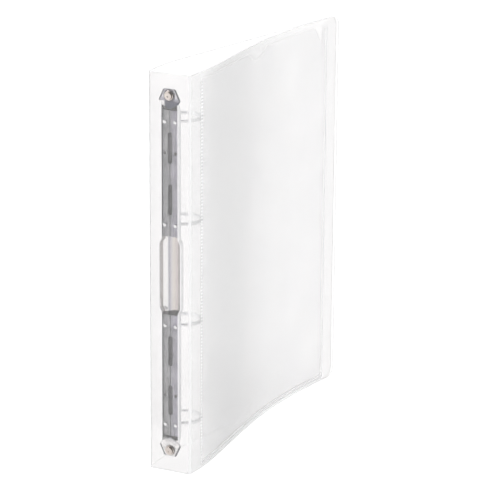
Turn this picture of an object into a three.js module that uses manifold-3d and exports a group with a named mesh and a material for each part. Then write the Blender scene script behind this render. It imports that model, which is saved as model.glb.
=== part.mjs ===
// A ring binder: one creased sheet of frosted polypropylene folded round a spine, a clear pocket
// welded on the front cover, and a steel ring mechanism whose rings open in two pairs.
//
// Millimetres, +Z up. The binder stands on its bottom edges. The spine faces -Y, the covers run
// towards +Y, the front cover is on the +X side. The origin is on the bottom edge of the spine,
// in the middle of its width and of the sheet's thickness.

import * as THREE from "three";
import { mergeVertices } from "three/addons/utils/BufferGeometryUtils.js";
import Module from "manifold-3d";

const wasm = await Module();
wasm.setup();

// Sheet of the covers and the spine
const HEIGHT = 315;
const SPINE_WIDTH = 35;
const COVER_LENGTH = 262;
const SHEET = 0.8;
const CORNER_R = 8;
const GAP = 0.3; // air between neighbouring pieces

// How each closed cover bends in plan: [distance from its crease, degrees towards +X from +Y]
const FRONT_BEND = [
  [0, 6.6],
  [10, 3.2],
  [22, -0.5],
  [34, -3.8],
  [48, -5.8],
  [80, -5.9],
  [125, -4.2],
  [150, -1],
  [175, 3],
  [220, 7.2],
  [COVER_LENGTH, 9.8],
];
const BACK_BEND = [
  [0, -3.5],
  [10, -4.5],
  [22, 1.6],
  [36, 6.1],
  [60, 9],
  [COVER_LENGTH, 9],
];
const BEND_STEP = 7;

// Clear pocket film on the front cover
const FILM = 0.25;
const POCKET = { start: 15, end: 244, bottom: 2.6, top: 310 };
const THUMB = { y: 126, halfWidth: 18, depth: 8 };
const CORNER_CUT = { inner: 225, outer: 237.5, depth: 18 };

// Arched plate of the mechanism
const PLATE = 0.8;
const PLATE_LENGTH = 291;
const PLATE_BASE_Y = SHEET / 2 + GAP;
const ARCH = { halfWidth: 7.5, height: 8, skirt: 0.45 };
const BULGE = { halfWidth: 9.5, halfLength: 25, taper: 5 };
const TAB = { tip: 5, shoulder: 9.3, shoulderAt: 9, neckAt: 12, apexAt: 15.5 };
const ARCH_RISE = { from: 8, to: 18 };

// Blades, in two pairs end to end
const BLADE = { thickness: 1, halfLength: 49, hingeX: 5.9, hingeY: 2.3, dip: 0.45 };
const PAIR_OFFSET = 80;
const SLOT = { offset: 20, halfLength: 12, halfWidth: 1.8 };
const DIMPLE = { offset: 16, x: 4.4, r: 1.3 };

// Rings
const RING_PITCH = 80;
const WIRE_R = 1.4;
const RING_R = 12.5 + WIRE_R;
const RING_Y = 21.2;
const FOOT_X = 4.5;
const FOOT_TOP = 6.5;
const FOOT_BASE = 3;
const SWEEP_FROM = THREE.MathUtils.degToRad(235);
const TENON_R = 0.9;
const STAKE = { r: 1.4, bottom: 0.95, top: 1.35 };

// Rivets
const RIVET = { fromEnd: 5, shankR: 2, headR: 3.7, headRise: 1.5, clinchR: 3, clinchRise: 0.9 };

const MIDDLE_Z = HEIGHT / 2;
const PLATE_BOTTOM = MIDDLE_Z - PLATE_LENGTH / 2;
const PLATE_TOP = MIDDLE_Z + PLATE_LENGTH / 2;
const RIVET_HEIGHTS = { rivet_top: PLATE_TOP - RIVET.fromEnd, rivet_bottom: PLATE_BOTTOM + RIVET.fromEnd };

const FROSTED = { color: 0xe9ebee, roughness: 0.45, metalness: 0, transparent: true, opacity: 0.6 };
const CLEAR = { color: 0xf6f7f8, roughness: 0.15, metalness: 0, transparent: true, opacity: 0.3 };
const CHROME = { color: 0xc9ccd2, roughness: 0.18, metalness: 1 };
const ZINC = { color: 0x9aa0ad, roughness: 0.4, metalness: 1 };
const NICKEL = { color: 0xd9cbb8, roughness: 0.25, metalness: 1 };

const binder = new THREE.Group();

function add(name, geometry, look) {
  const mesh = new THREE.Mesh(geometry, new THREE.MeshStandardMaterial(look));
  mesh.name = name;
  binder.add(mesh);
}

// ---- Solids -------------------------------------------------------------------------------

function solid(geometry) {
  const bare = geometry.clone();
  bare.deleteAttribute("normal");
  bare.deleteAttribute("uv");
  const welded = mergeVertices(bare, 1e-4);
  return new wasm.Manifold(
    new wasm.Mesh({
      numProp: 3,
      vertProperties: new Float32Array(welded.attributes.position.array),
      triVerts: new Uint32Array(welded.index.array),
    })
  );
}

function geometryOf(manifold) {
  const { vertProperties, triVerts } = manifold.getMesh();
  const geometry = new THREE.BufferGeometry();
  geometry.setAttribute("position", new THREE.BufferAttribute(vertProperties, 3));
  geometry.setIndex(new THREE.BufferAttribute(triVerts, 1));
  geometry.computeVertexNormals();
  return geometry;
}

// A flat outline drawn in X and Z, given thickness along Y
function slabY(shape, lowY, highY, curveSegments = 8) {
  const depth = highY - lowY;
  const slab = new THREE.ExtrudeGeometry(shape, { depth, bevelEnabled: false, curveSegments });
  return slab.rotateX(Math.PI / 2).translate(0, highY, 0);
}

// A flat outline drawn in Y and Z, given thickness along X
function slabX(shape, lowX, highX, curveSegments = 12) {
  const depth = highX - lowX;
  const slab = new THREE.ExtrudeGeometry(shape, { depth, bevelEnabled: false, curveSegments });
  const turn = new THREE.Matrix4().makeBasis(
    new THREE.Vector3(0, 1, 0),
    new THREE.Vector3(0, 0, 1),
    new THREE.Vector3(1, 0, 0)
  );
  return slab.applyMatrix4(turn).translate(lowX, 0, 0);
}

// A solid of revolution about a line along Y. Its profile is a list of [radius, y].
function latheY(profile, x, z, segments = 20) {
  const points = profile.map(([r, y]) => new THREE.Vector2(r, y));
  return new THREE.LatheGeometry(points, segments).translate(x, 0, z);
}

function polygon(corners) {
  return new THREE.Shape(corners.map(([u, v]) => new THREE.Vector2(u, v)));
}

function stadium(halfLength, halfWidth) {
  const shape = new THREE.Shape();
  const straight = halfLength - halfWidth;
  shape.moveTo(halfWidth, -straight);
  shape.lineTo(halfWidth, straight);
  shape.absarc(0, straight, halfWidth, 0, Math.PI, false);
  shape.lineTo(-halfWidth, -straight);
  shape.absarc(0, -straight, halfWidth, Math.PI, 2 * Math.PI, false);
  return shape;
}

// ---- Sheet --------------------------------------------------------------------------------

function headingAt(bend, distance) {
  const next = Math.max(1, bend.findIndex(([d]) => d >= distance));
  const [d0, h0] = bend[next - 1];
  const [d1, h1] = bend[next];
  return THREE.MathUtils.degToRad(THREE.MathUtils.lerp(h0, h1, (distance - d0) / (d1 - d0)));
}

// Points along the middle of a bent cover, each with its outward normal. side is +1 at the front.
function bendPath(side, bend) {
  const stations = [];
  const place = new THREE.Vector2((side * SPINE_WIDTH) / 2, 0);
  const finest = 1;
  for (let distance = 0; distance <= COVER_LENGTH; distance += finest) {
    const heading = headingAt(bend, distance);
    const normal = new THREE.Vector2(Math.cos(heading), -Math.sin(heading)).multiplyScalar(side);
    stations.push({ distance, place: place.clone(), normal });
    const middle = headingAt(bend, Math.min(distance + finest / 2, COVER_LENGTH));
    place.add(new THREE.Vector2(Math.sin(middle), Math.cos(middle)).multiplyScalar(finest));
  }
  return stations;
}

// The outline of a layer of the cover, between two distances from the crease and two offsets from
// the middle of the sheet
function layerOutline(path, from, to, inner, outer) {
  const count = Math.round((to - from) / BEND_STEP);
  const pick = (_, i) => path[Math.round(THREE.MathUtils.lerp(from, to, i / count))];
  const picks = Array.from({ length: count + 1 }, pick);
  const offset = (station, amount) => station.place.clone().addScaledVector(station.normal, amount);
  const outerSide = picks.map((station) => offset(station, outer));
  const innerSide = picks.map((station) => offset(station, inner)).reverse();
  return [...outerSide, ...innerSide];
}

function extrudeUp(points, height) {
  return new THREE.ExtrudeGeometry(new THREE.Shape(points), { depth: height, bevelEnabled: false });
}

// A cover's outline seen from the side, with its two fore-edge corners rounded
function coverProfile(length) {
  const shape = new THREE.Shape();
  const back = -SHEET;
  shape.moveTo(back, 0);
  shape.lineTo(length - CORNER_R, 0);
  shape.absarc(length - CORNER_R, CORNER_R, CORNER_R, -Math.PI / 2, 0, false);
  shape.lineTo(length, HEIGHT - CORNER_R);
  shape.absarc(length - CORNER_R, HEIGHT - CORNER_R, CORNER_R, 0, Math.PI / 2, false);
  shape.lineTo(back, HEIGHT);
  return shape;
}

// A cover with a round edge at its crease, so that it turns freely beside the spine
function cover(side, bend) {
  const path = bendPath(side, bend);
  const panel = layerOutline(path, 0, COVER_LENGTH, -SHEET / 2, SHEET / 2);
  const start = path[0].normal.angle();
  const roundSteps = 6;
  for (let i = 1; i < roundSteps; i++) {
    const angle = start + Math.PI - (side * Math.PI * -i) / roundSteps;
    const corner = new THREE.Vector2(Math.cos(angle), Math.sin(angle)).multiplyScalar(SHEET / 2);
    panel.push(path[0].place.clone().add(corner));
  }
  const farY = path.at(-1).place.y;
  const trim = slabX(coverProfile(farY), -SPINE_WIDTH, SPINE_WIDTH);
  return solid(extrudeUp(panel, HEIGHT)).intersect(solid(trim));
}

function spinePanel() {
  const halfWidth = SPINE_WIDTH / 2 - SHEET / 2 - GAP;
  const shape = polygon([
    [-halfWidth, 0],
    [halfWidth, 0],
    [halfWidth, HEIGHT],
    [-halfWidth, HEIGHT],
  ]);
  for (const z of Object.values(RIVET_HEIGHTS)) {
    shape.holes.push(new THREE.Path().absarc(0, z, RIVET.shankR + GAP, 0, 2 * Math.PI, false));
  }
  return slabY(shape, -SHEET / 2, SHEET / 2);
}

// The film's outline seen from the side: open top edge with a thumb notch and a cut-off corner
function pocketProfile(nearY, farY) {
  const { bottom, top } = POCKET;
  const notchR = (THUMB.halfWidth ** 2 + THUMB.depth ** 2) / (2 * THUMB.depth);
  const notchAngle = Math.asin(THUMB.halfWidth / notchR);
  const notchZ = top + notchR - THUMB.depth;
  const shape = new THREE.Shape();
  shape.moveTo(nearY, bottom);
  shape.lineTo(farY, bottom);
  shape.lineTo(farY, top);
  shape.lineTo(CORNER_CUT.outer, top);
  shape.lineTo(CORNER_CUT.outer, top - CORNER_CUT.depth);
  shape.lineTo(CORNER_CUT.inner, top);
  shape.absarc(THUMB.y, notchZ, notchR, -Math.PI / 2 + notchAngle, -Math.PI / 2 - notchAngle, true);
  shape.lineTo(nearY, top);
  return shape;
}

function pocketFilm() {
  const inner = SHEET / 2 + GAP;
  const path = bendPath(1, FRONT_BEND);
  const layer = layerOutline(path, POCKET.start, POCKET.end, inner, inner + FILM);
  const nearY = path[POCKET.start].place.y - SHEET;
  const farY = path[POCKET.end].place.y + SHEET;
  const trim = slabX(pocketProfile(nearY, farY), 0, SPINE_WIDTH, 16);
  return solid(extrudeUp(layer, HEIGHT)).intersect(solid(trim));
}

// ---- Ring mechanism -----------------------------------------------------------------------

// A unit arch: straight skirts, then half an ellipse over the top. foot is where the skirts end.
function unitArch(foot) {
  const shape = new THREE.Shape();
  shape.moveTo(-1, foot);
  shape.lineTo(1, foot);
  shape.lineTo(1, ARCH.skirt);
  shape.absellipse(0, ARCH.skirt, 1, 1 - ARCH.skirt, 0, Math.PI, false);
  return shape;
}

// Stations along the plate from its bottom end to its top end. The arch rises out of flat ends and
// widens over the middle. startAt is how far the first and last stations are from the ends.
function archStations(startAt) {
  const fromMiddle = (fromEnd) => PLATE_LENGTH / 2 - fromEnd;
  const { halfLength, taper } = BULGE;
  const upperHalf = [
    { offset: halfLength, halfWidth: BULGE.halfWidth, height: ARCH.height },
    { offset: halfLength + taper, halfWidth: ARCH.halfWidth, height: ARCH.height },
  ];
  const riseSteps = 4;
  for (let i = riseSteps; i >= 0; i--) {
    const fromEnd = THREE.MathUtils.lerp(startAt, ARCH_RISE.to, i / riseSteps);
    const rise = THREE.MathUtils.smoothstep(fromEnd, ARCH_RISE.from, ARCH_RISE.to);
    const height = THREE.MathUtils.lerp(PLATE, ARCH.height, rise);
    upperHalf.push({ offset: fromMiddle(fromEnd), halfWidth: ARCH.halfWidth, height });
  }
  const lowerHalf = upperHalf.map((station) => ({ ...station, offset: -station.offset })).reverse();
  return [...lowerHalf, ...upperHalf];
}

// The arch swept through its stations, drawn in by a wall thickness
function sweepArch(stations, foot, wall) {
  const last = stations.length - 1;
  const options = { depth: 1, steps: last, bevelEnabled: false, curveSegments: 10 };
  const sweep = new THREE.ExtrudeGeometry(unitArch(foot), options);
  const at = sweep.attributes.position;
  for (let i = 0; i < at.count; i++) {
    const station = stations[Math.round(at.getZ(i) * last)];
    const x = at.getX(i) * (station.halfWidth - wall);
    const y = PLATE_BASE_Y + at.getY(i) * (station.height - wall);
    at.setXYZ(i, x, y, MIDDLE_Z + station.offset);
  }
  return solid(sweep);
}

// A six-sided flat tab with a pointed inner end, at the top (end 1) or the bottom (end -1)
function tab(end) {
  const edge = MIDDLE_Z + (end * PLATE_LENGTH) / 2;
  const corner = (x, fromEnd) => [x, edge - end * fromEnd];
  const shape = polygon([
    corner(-TAB.tip, 0),
    corner(TAB.tip, 0),
    corner(TAB.shoulder, TAB.shoulderAt),
    corner(ARCH.halfWidth - PLATE / 2, TAB.neckAt),
    corner(0, TAB.apexAt),
    corner(-ARCH.halfWidth + PLATE / 2, TAB.neckAt),
    corner(-TAB.shoulder, TAB.shoulderAt),
  ]);
  return solid(slabY(shape, PLATE_BASE_Y, PLATE_BASE_Y + PLATE));
}

function ringHeights() {
  return [1.5, 0.5, -0.5, -1.5].map((step) => MIDDLE_Z + step * RING_PITCH);
}

// The opening that a ring's foot passes through, with room for it to tilt outwards
function footHole(side, z) {
  const reach = WIRE_R + GAP;
  const tilt = 1;
  const low = FOOT_X - reach;
  const high = FOOT_X + reach + tilt;
  const shape = new THREE.Shape();
  shape.absarc(side * (low + reach), z, reach, 0, 2 * Math.PI, false);
  const outer = new THREE.Shape();
  outer.absarc(side * (high - reach), z, reach, 0, 2 * Math.PI, false);
  const floor = PLATE_BASE_Y + ARCH.skirt * ARCH.height;
  const ceiling = PLATE_BASE_Y + ARCH.height + SHEET;
  return solid(slabY(shape, floor, ceiling, 6)).add(solid(slabY(outer, floor, ceiling, 6)));
}

function archPlate() {
  const hollowFrom = ARCH_RISE.from + 4;
  let plate = sweepArch(archStations(ARCH_RISE.from), 0, 0);
  plate = plate.subtract(sweepArch(archStations(hollowFrom), -ARCH.skirt, PLATE));
  plate = plate.add(tab(1)).add(tab(-1));
  for (const z of Object.values(RIVET_HEIGHTS)) {
    const hole = new THREE.Shape().absarc(0, z, RIVET.shankR + GAP, 0, 2 * Math.PI, false);
    plate = plate.subtract(solid(slabY(hole, 0, PLATE_BASE_Y + 2 * PLATE)));
  }
  for (const z of ringHeights()) {
    plate = plate.subtract(footHole(1, z)).subtract(footHole(-1, z));
  }
  return plate;
}

// One blade in section: a thin plate with a round outer edge, dipping towards the middle
function bladeSection(side) {
  const { thickness, hingeX, hingeY, dip } = BLADE;
  const half = thickness / 2;
  const shape = new THREE.Shape();
  const innerX = -GAP / 2;
  shape.moveTo(innerX, hingeY - dip - half);
  shape.lineTo(innerX, hingeY - dip + half);
  shape.lineTo(-hingeX, hingeY + half);
  shape.absarc(-hingeX, hingeY, half, Math.PI / 2, (3 * Math.PI) / 2, false);
  const points = shape.extractPoints(6).shape;
  return side < 0 ? points : points.map((p) => new THREE.Vector2(-p.x, p.y)).reverse();
}

function blade(side, pairZ, outward) {
  const { halfLength } = BLADE;
  const strip = extrudeUp(bladeSection(side), 2 * halfLength).translate(0, 0, pairZ - halfLength);
  const ceiling = BLADE.hingeY + 2 * BLADE.thickness;
  let body = solid(strip);
  for (const z of [pairZ - RING_PITCH / 2, pairZ + RING_PITCH / 2]) {
    const hole = new THREE.Shape().absarc(side * FOOT_X, z, TENON_R + GAP, 0, 2 * Math.PI, false);
    body = body.subtract(solid(slabY(hole, 0, ceiling, 8)));
  }
  for (const z of [pairZ - SLOT.offset, pairZ + SLOT.offset]) {
    const slot = slabY(stadium(SLOT.halfLength, SLOT.halfWidth), 0, ceiling, 6).translate(0, 0, z);
    body = body.subtract(solid(slot));
  }
  const dimpleZ = pairZ + outward * DIMPLE.offset;
  const dimple = new THREE.Shape().absarc(side * DIMPLE.x, dimpleZ, DIMPLE.r, 0, 2 * Math.PI, false);
  return body.subtract(solid(slabY(dimple, 0, ceiling, 8)));
}

// The middle line of a half ring: up out of the plate, out into the circle, over to the tip
function ringPath(side) {
  const onCircle = (angle) =>
    new THREE.Vector3(side * -RING_R * Math.cos(angle), RING_Y + RING_R * Math.sin(angle), 0);
  const foot = new THREE.Vector3(side * FOOT_X, FOOT_TOP, 0);
  const join = onCircle(SWEEP_FROM);
  const handle = 1.9;
  const along = new THREE.Vector3(side * -Math.sin(SWEEP_FROM), -Math.cos(SWEEP_FROM), 0);
  const path = new THREE.CurvePath();
  path.add(new THREE.LineCurve3(new THREE.Vector3(side * FOOT_X, FOOT_BASE, 0), foot));
  path.add(
    new THREE.CubicBezierCurve3(
      foot,
      new THREE.Vector3(side * FOOT_X, FOOT_TOP + handle, 0),
      join.clone().addScaledVector(along, -handle),
      join
    )
  );
  const tip = Math.PI / 2 + Math.asin(GAP / 2 / RING_R);
  const arc = new THREE.CatmullRomCurve3(
    Array.from({ length: 17 }, (_, i) => onCircle(THREE.MathUtils.lerp(SWEEP_FROM, tip, i / 16)))
  );
  path.add(arc);
  return path;
}

function halfRing(side, z) {
  const section = new THREE.Shape().absarc(0, 0, WIRE_R, 0, 2 * Math.PI, false);
  const options = { steps: 26, curveSegments: 6, extrudePath: ringPath(side), bevelEnabled: false };
  const wire = new THREE.ExtrudeGeometry(section, options).translate(0, 0, z);
  const tenon = [
    [0, STAKE.bottom],
    [STAKE.r, STAKE.bottom],
    [STAKE.r, STAKE.top],
    [TENON_R, STAKE.top],
    [TENON_R, FOOT_BASE + WIRE_R / 2],
    [0, FOOT_BASE + WIRE_R / 2],
  ];
  return solid(wire).add(solid(latheY(tenon, side * FOOT_X, z, 12)));
}

// A rivet: domed head outside the spine, shank through spine and tab, clinched end inside
function rivet(z) {
  const { shankR, headR, headRise, clinchR, clinchRise } = RIVET;
  const headY = -SHEET / 2 - GAP;
  const clinchY = PLATE_BASE_Y + PLATE + GAP;
  const domeSteps = 5;
  const dome = (i, radius, rise) => {
    const angle = (Math.PI / 2) * (i / domeSteps);
    return [radius * Math.sin(angle), rise * Math.cos(angle)];
  };
  const profile = [];
  for (let i = 0; i <= domeSteps; i++) {
    const [r, rise] = dome(i, headR, headRise);
    profile.push([r, headY - rise]);
  }
  profile.push([shankR, headY], [shankR, clinchY]);
  for (let i = domeSteps; i >= 0; i--) {
    const [r, rise] = dome(i, clinchR, clinchRise);
    profile.push([r, clinchY + rise]);
  }
  return solid(latheY(profile, 0, z));
}

// ---- Assembly -----------------------------------------------------------------------------

add("spine_panel", spinePanel(), FROSTED);
add("front_cover", geometryOf(cover(1, FRONT_BEND)), FROSTED);
add("back_cover", geometryOf(cover(-1, BACK_BEND)), FROSTED);
add("front_pocket_film", geometryOf(pocketFilm()), CLEAR);
add("arch_plate", geometryOf(archPlate()), CHROME);

const SIDES = { left: -1, right: 1 };
const PAIRS = { upper: 1, lower: -1 };
for (const [sideName, side] of Object.entries(SIDES)) {
  for (const [pairName, outward] of Object.entries(PAIRS)) {
    const pairZ = MIDDLE_Z + outward * PAIR_OFFSET;
    add(`${pairName}_${sideName}_blade`, geometryOf(blade(side, pairZ, outward)), ZINC);
  }
  ringHeights().forEach((z, i) => {
    add(`ring_${i + 1}_${sideName}`, geometryOf(halfRing(side, z)), CHROME);
  });
}
for (const [name, z] of Object.entries(RIVET_HEIGHTS)) {
  add(name, geometryOf(rivet(z)), NICKEL);
}

export default binder;
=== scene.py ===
"""The looks of a frosted ring binder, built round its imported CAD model.

Lengths in this script are in millimetres and are multiplied by MM where they reach Blender.
"""

import math

import bmesh
import bpy
import numpy as np
from mathutils import Matrix, Vector


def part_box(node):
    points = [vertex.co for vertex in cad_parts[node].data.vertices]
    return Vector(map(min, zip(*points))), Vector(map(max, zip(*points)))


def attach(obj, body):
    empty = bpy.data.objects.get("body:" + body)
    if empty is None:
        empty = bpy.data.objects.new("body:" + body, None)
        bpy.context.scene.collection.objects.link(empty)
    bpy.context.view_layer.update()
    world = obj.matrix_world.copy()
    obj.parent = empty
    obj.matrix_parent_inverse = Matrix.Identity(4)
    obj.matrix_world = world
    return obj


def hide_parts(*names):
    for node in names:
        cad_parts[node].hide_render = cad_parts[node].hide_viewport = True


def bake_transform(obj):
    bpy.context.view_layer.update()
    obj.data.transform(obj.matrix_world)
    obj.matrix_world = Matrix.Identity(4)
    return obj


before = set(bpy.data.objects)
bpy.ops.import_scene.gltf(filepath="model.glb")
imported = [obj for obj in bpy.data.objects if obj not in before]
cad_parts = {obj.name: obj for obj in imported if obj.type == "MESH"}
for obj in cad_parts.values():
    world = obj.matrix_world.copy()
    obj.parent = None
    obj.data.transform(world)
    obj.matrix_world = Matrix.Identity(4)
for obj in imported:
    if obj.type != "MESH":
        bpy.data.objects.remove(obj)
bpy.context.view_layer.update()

MM = 0.001

# ---- Driving dimensions, as in the CAD model ----

CLEARANCE = 0.3

# Creased sheet. A bend lists (distance from the spine, heading in degrees) in plan.
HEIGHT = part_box("spine_panel")[1].z / MM
SHEET = (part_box("spine_panel")[1].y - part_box("spine_panel")[0].y) / MM
SPINE_WIDTH = 35.0
COVER_LENGTH = 262.0
CORNER_R = 8.0
FRONT_BEND = ((0, 6.6), (10, 3.2), (22, -0.5), (34, -3.8), (48, -5.8), (80, -5.9), (125, -4.2),
              (150, -1), (175, 3), (220, 7.2), (COVER_LENGTH, 9.8))
BACK_BEND = ((0, -3.5), (10, -4.5), (22, 1.6), (36, 6.1), (60, 9), (COVER_LENGTH, 9))
CREASE_R = 1.2
CREASE_STEPS = 10
CREASE_LEAD = 0.02  # straight part of a cover before its crease
CREASE_THIN, CREASE_SPREAD = 0.55, 0.28  # thickness left in the middle, and its reach, as shares
SPINE_GAP = 0.04

# Pocket film and its welds. A tooth is (distance, half length, half height, rise).
FILM = 0.25
FILM_GAP, FILM_GAP_AT_WELD = 0.3, 0.15  # air under the film, and the share of it at a weld
FILM_RISE = (1.0, 9.0)  # from how near a weld to how far the film rises
POCKET_START, POCKET_END = 15.0, 244.0
POCKET_BOTTOM, POCKET_TOP = 2.6, 310.0
THUMB_AT, THUMB_HALF, THUMB_DEPTH = 126.0, 18.0, 8.0
CUT_INNER, CUT_OUTER, CUT_DEPTH, CUT_SLIT = 225.0, 237.5, 18.0, 0.35
WELD_PITCH = 2.6
WELD_TEETH = (15.6, 1.3, 0.6, 0.12)
WELD_TICKS = (20.6, 3.2, 0.5, 0.08)
WELD_FORE = (241.6, 0.9, 0.8, 0.1)
WELD_BOTTOM = (3.4, 6.0)
WELD_SINK, WELD_INSET = -0.02, 0.6
BEAD = ((-0.45, WELD_SINK), (-0.25, 0.07), (0, 0.1), (0.25, 0.07), (0.45, WELD_SINK))

# Arched plate. The places on its ends are distances from the end.
PLATE = 0.8
PLATE_BASE = SHEET / 2 + CLEARANCE
PLATE_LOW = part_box("arch_plate")[0].z / MM
PLATE_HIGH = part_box("arch_plate")[1].z / MM
MIDDLE_Z = (PLATE_LOW + PLATE_HIGH) / 2
ARCH_HALF = 7.5
ARCH_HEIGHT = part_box("arch_plate")[1].y / MM - PLATE_BASE
ARCH_SKIRT = 0.45  # share of the height that is upright
ARCH_FROM = 9.5
BULGE_HALF, BULGE_REACH, BULGE_TAPER = 9.5, 25.0, 5.0
TAB_TIP, TAB_SHOULDER, TAB_SHOULDER_AT, TAB_NECK_AT, TAB_APEX_AT = 5.0, 9.3, 9.0, 12.0, 15.5
TAB_CORNER_R, TAB_BEVEL = 1.2, 0.3
RISE_FROM, RISE_TO = 8.0, 18.0

# Blades. A blade's places are offsets from the middle of its pair.
BLADE_THICK, BLADE_BEVEL, BLADE_HALF_LENGTH = 1.0, 0.18, 49.0
HINGE_X, HINGE_Y, BLADE_DIP = 5.9, 2.3, 0.45
PAIR_OFFSET = 80.0
SLOT_OFFSET, SLOT_HALF_LENGTH, SLOT_HALF_WIDTH = 20.0, 12.0, 1.8
DIMPLE_OFFSET, DIMPLE_X, DIMPLE_R = 16.0, 4.4, 1.3

# Rings. STAKE is the foot's profile: (radius, height).
RING_PITCH = 80.0
WIRE_R = 1.4
RING_R = 12.5 + WIRE_R
RING_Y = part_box("ring_1_left")[1].y / MM - RING_R - WIRE_R
FOOT_X, FOOT_TOP, FOOT_BASE = 4.5, 6.5, 3.0
FOOT_HOLE_TRAVEL = 1.0
SWEEP_FROM = math.radians(235)
SWEEP_LEAD = 1.9  # how long the wire keeps its direction on both sides of its bend
TENON_R = 0.9
TIP_GAP = 0.15
TIP_CHAMFER, FOOT_CHAMFER = 0.22, 0.15
STAKE = ((0, 0.95), (1.1, 0.95), (1.4, 1.1), (1.4, 1.35), (TENON_R, 1.35),
         (TENON_R, FOOT_BASE + 0.5), (0, FOOT_BASE + 0.5))

# Rivets. DISC is the head's dished face, as (radius, depth), and FLANGE the thin flange under
# it, as (radius, height), down to the shank.
RIVET_FROM_END = 5.0
RIVET_HEAD_R, RIVET_HEAD_RISE, RIVET_SHANK_R = 3.7, 1.5, 2.0
DISC = ((0, 0.35), (0.5, 0.3), (0.9, 0.1), (1.2, 0), (2.1, 0.05))
DISC_EDGE_AT, DISC_EDGE_R, DISC_EDGE_DEPTH = 2.5, 0.5, 0.6
FLANGE = ((DISC_EDGE_AT + DISC_EDGE_R, -0.3), (RIVET_HEAD_R - 0.2, -0.25), (RIVET_HEAD_R, -0.1),
          (RIVET_HEAD_R - 0.15, 0.05), (RIVET_SHANK_R, 0.05))
ROLL_AT, ROLL_WIDTH, ROLL_HEIGHT, ROLL_BORE = 2.3, 0.45, 0.42, 1.5
RIVET_HEIGHTS = {"rivet_top": PLATE_HIGH - RIVET_FROM_END,
                 "rivet_bottom": PLATE_LOW + RIVET_FROM_END}

SIDES = {"left": -1, "right": 1}
PAIRS = {"upper": 1, "lower": -1}
RING_HEIGHTS = [MIDDLE_Z + step * RING_PITCH for step in (1.5, 0.5, -0.5, -1.5)]
PAIR_OF_RING = ("upper", "upper", "lower", "lower")

# Meshes and colours
WHITE = (1, 1, 1)
MERGE, MERGE_STAMPED = 1e-3, 2e-3
SHARP_ANGLE, SHARP_ANGLE_TURNED = 40, 50
EDGE_STEPS = (0, 0.15, 0.5, 1.0, 1.7)  # places near a rounded edge, in radii
EDGE_LEAST = 0.25  # share of the thickness left at the very edge
RIM_CELLS = 3
COVER_COLUMNS, COVER_ROWS = 96, 30
SPINE_COLUMNS, SPINE_ROWS = 16, 40
FILM_COLUMNS, FILM_ROWS = 110, 36
BEAD_STEPS = 150


# ---- Mesh helpers ----

def add_object(name, data):
    added = bpy.data.objects.new(name, data)
    bpy.context.scene.collection.objects.link(added)
    return added


def clean(mesh, merge=None):
    """Turns a mesh's faces outwards, after merging vertices closer than merge millimetres."""
    bm = bmesh.new()
    bm.from_mesh(mesh)
    if merge:
        bmesh.ops.remove_doubles(bm, verts=bm.verts, dist=merge * MM)
    bmesh.ops.recalc_face_normals(bm, faces=bm.faces)
    bm.to_mesh(mesh)
    bm.free()


def sharpen(mesh, angle=SHARP_ANGLE):
    mesh.set_sharp_from_angle(angle=math.radians(angle))


def new_object(name, verts, faces, materials, smooth=True, indices=None):
    """A new piece. indices gives the place in materials that each face takes."""
    mesh = bpy.data.meshes.new(name)
    mesh.from_pydata([tuple(float(c) * MM for c in v) for v in verts], [], faces)
    for material in materials:
        mesh.materials.append(material)
    if indices is not None:
        mesh.polygons.foreach_set("material_index", indices)
    clean(mesh, MERGE)
    for polygon in mesh.polygons:
        polygon.use_smooth = smooth
    piece = add_object(name, mesh)
    return piece


def edge_stops(low, high, count, radius):
    """Places from low to high, with extra ones close to both ends for a rounded edge."""
    near = [radius * k for k in EDGE_STEPS]
    inner = np.linspace(low + radius, high - radius, count)[1:-1]
    return np.array([low + n for n in near] + list(inner) + [high - n for n in reversed(near)])


def edge_share(distance, radius):
    """How thick a sheet is, as a share, at a distance from its rounded edge."""
    inset = np.clip(1 - distance / radius, 0, 1)
    return np.maximum(np.sqrt(1 - inset ** 2), EDGE_LEAST)


def shell(name, middle, normal, half, materials, choose=None, rim=0):
    """A thin closed sheet from grids of middle points, normals and half thicknesses.

    choose(i, j, outer) gives the material of the cell at row i and column j, and rim is the
    material of the narrow faces all round.
    """
    rows, cols = half.shape
    outer = middle + normal * half[..., None]
    inner = middle - normal * half[..., None]
    verts = np.concatenate([outer.reshape(-1, 3), inner.reshape(-1, 3)])
    shift = rows * cols
    faces, indices = [], []
    for i in range(rows - 1):
        for j in range(cols - 1):
            a, b = i * cols + j, i * cols + j + 1
            c, d = b + cols, a + cols
            faces.append((a, b, c, d))
            faces.append((a + shift, d + shift, c + shift, b + shift))
            indices += [choose(i, j, True), choose(i, j, False)] if choose else [0, 0]
    border = [(i * cols, (i + 1) * cols) for i in range(rows - 1)]
    border += [((i + 1) * cols - 1, (i + 2) * cols - 1) for i in range(rows - 1)]
    border += [(j, j + 1) for j in range(cols - 1)]
    border += [((rows - 1) * cols + j, (rows - 1) * cols + j + 1) for j in range(cols - 1)]
    faces += [(a, b, b + shift, a + shift) for a, b in border]
    indices += [rim] * len(border)
    return new_object(name, verts, faces, materials, indices=indices)


def rim_cells(rows, cols, ends):
    """A chooser that gives material 1 to the rounded edges of a sheet.

    ends says how many rows at the start and at the end of the sheet belong to them.
    """
    def choose(i, j, outer):
        at_edge = j < RIM_CELLS or j >= cols - 1 - RIM_CELLS
        return int(at_edge or i < ends[0] or i >= rows - 1 - ends[1])
    return choose


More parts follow.
